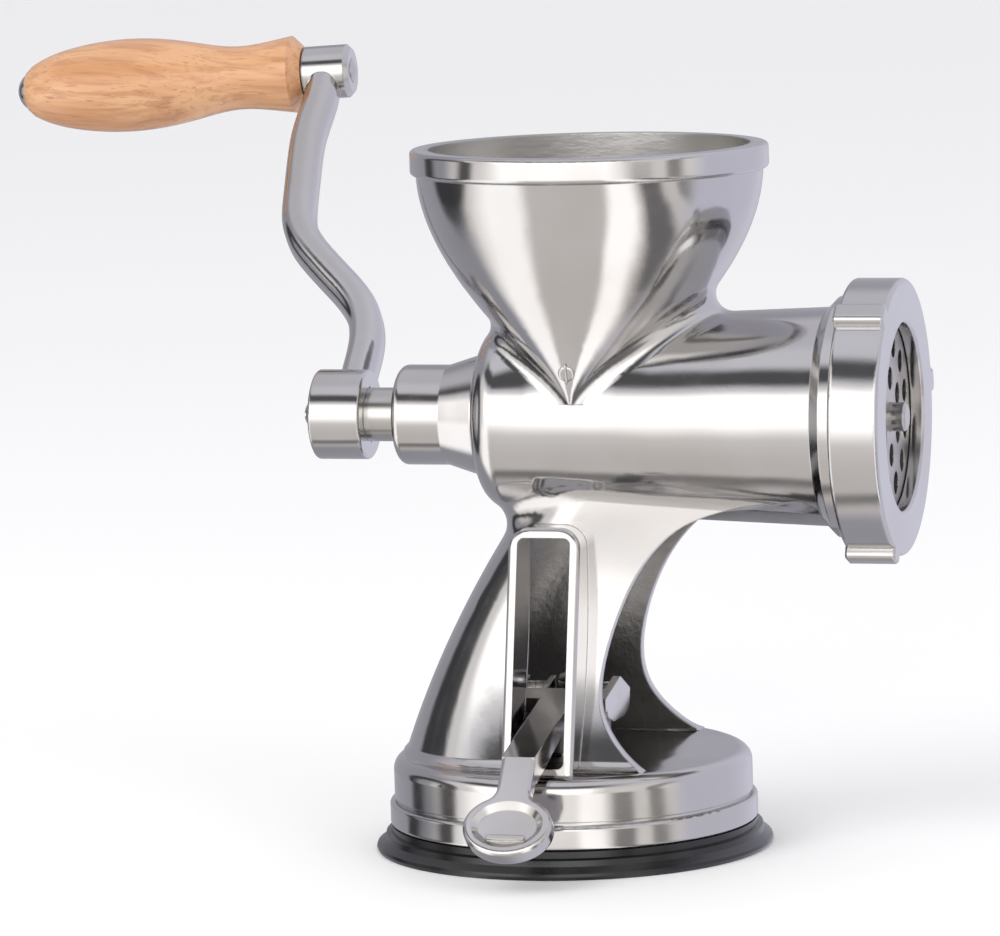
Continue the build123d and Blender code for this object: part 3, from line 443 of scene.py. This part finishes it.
def studioWorld():
    # pale room for the camera; the steel mirrors softboxes, dark cards and a lilac back wall
    world = bpy.data.worlds.new("studio")
    world.use_nodes = True
    tree = world.node_tree
    tree.nodes.clear()
    coord = tree.nodes.new("ShaderNodeTexCoord")
    way = Wire(tree, coord.outputs["Generated"])
    x, y, z = way.axes()
    front = (0 - y).rise(*fades["front"])
    below = (1 - z.rise(*fades["above"])) * front
    backWall = x.rise(*fades["backRight"]).blend(studio["shade"], studio["lilac"])
    tone = z.rise(*fades["room"]).blend(studio["ground"], studio["room"])
    tone = z.rise(*fades["ceiling"]).blend(tone, studio["ceiling"])
    tone = front.blend(backWall, tone)
    tone = (z.rise(*fades["overhead"]) * 0.7).blend(tone, studio["ceiling"])
    tone = (card("leftBox", x) * below).blend(tone, studio["sideBox"])
    tone = (card("rightBox", x) * below).blend(tone, studio["sideBox"])
    tone = (card("gap", x) * below).blend(tone, studio["card"])
    tone = (card("under", z) * front).blend(tone, studio["card"])   # line low on the barrel
    band = card("band", z) * front * (1 - x.rise(*fades["bandEnd"]))
    tone = band.blend(tone, studio["card"])
    tone = card("left", x).blend(tone, studio["darkCard"])
    tone = (card("right", x) * front).blend(tone, studio["card"])
    box = front * z.rise(*fades["boxLow"]) * (1 - z.rise(*fades["boxHigh"])) \
        * x.rise(*fades["boxLeft"]) * (1 - x.rise(*fades["boxRight"]))
    colour = box.blend(tone, studio["softbox"])
    mirrored = way.add("ShaderNodeBackground", None, {"Color": colour, "Strength": 1.0})
    plain = way.add("ShaderNodeBackground", None, {"Color": studio["background"], "Strength": 1.0})
    path = tree.nodes.new("ShaderNodeLightPath")
    glossy = Wire(tree, path.outputs["Is Glossy Ray"])
    both = way.add("ShaderNodeMixShader", None, {0: glossy, 1: plain, 2: mirrored})
    output = tree.nodes.new("ShaderNodeOutputWorld")
    tree.links.new(both.out, output.inputs["Surface"])
    bpy.context.scene.world = world


def floorMaterial():
    material, place = newMaterial("pale floor")
    patches = place.noise(3, 3, 0.5)
    tone = patches.blend(studio["floorColour"], studio["floorPatch"])
    finishMaterial(place, {"Base Color": tone, "Roughness": 0.6})
    return material


def addFloor():
    half = studio["floorHalf"]
    corners = [(-half, -half, 0), (half, -half, 0), (half, half, 0), (-half, half, 0)]
    mesh = bpy.data.meshes.new("floor")
    mesh.from_pydata(corners, [], [(0, 1, 2, 3)])
    floor = bpy.data.objects.new("floor", mesh)
    bpy.context.scene.collection.objects.link(floor)
    mesh.materials.append(floorMaterial())
    floor.visible_glossy = False              # the steel mirrors the studio below it instead


lights = {"key": {"place": (-0.9, -1.2, 1.5), "size": 1.0, "power": 14},
          "fill": {"place": (1.2, -0.8, 0.8), "size": 0.8, "power": 5}}
lightTarget = (0, 0, 0.1)


def addLight(name):
    data = bpy.data.lights.new(name, "AREA")
    data.shape = "SQUARE"
    data.size = lights[name]["size"]
    data.energy = lights[name]["power"]
    light = bpy.data.objects.new(name, data)
    bpy.context.scene.collection.objects.link(light)
    light.location = lights[name]["place"]
    aim = Vector(lightTarget) - light.location
    light.rotation_euler = aim.to_track_quat("-Z", "Y").to_euler()
    light.visible_glossy = False


view = {"azimuth": 15.42, "elevation": 7.44, "roll": 1.64, "distance": 1.755,
        "target": (-0.0188, 0.0, 0.10585), "lens": 226.3}


def addCamera():
    data = bpy.data.cameras.new("camera")
    data.sensor_width = 36
    data.lens = view["lens"]
    data.clip_end = 60
    camera = bpy.data.objects.new("camera", data)
    bpy.context.scene.collection.objects.link(camera)
    turn = math.radians(view["azimuth"])
    rise = math.radians(view["elevation"])
    away = Vector((math.sin(turn) * math.cos(rise), -math.cos(turn) * math.cos(rise),
                      math.sin(rise)))
    target = Vector(view["target"])
    camera.location = target + away * view["distance"]
    facing = (-away).to_track_quat("-Z", "Y").to_matrix().to_4x4()
    roll = Matrix.Rotation(math.radians(view["roll"]), 4, "Z")
    camera.rotation_euler = (facing @ roll.inverted()).to_euler()
    bpy.context.scene.camera = camera


studioWorld()
addFloor()
for name in lights:
    addLight(name)
addCamera()
bpy.context.scene.view_settings.view_transform = "Standard"
print("studio ready")
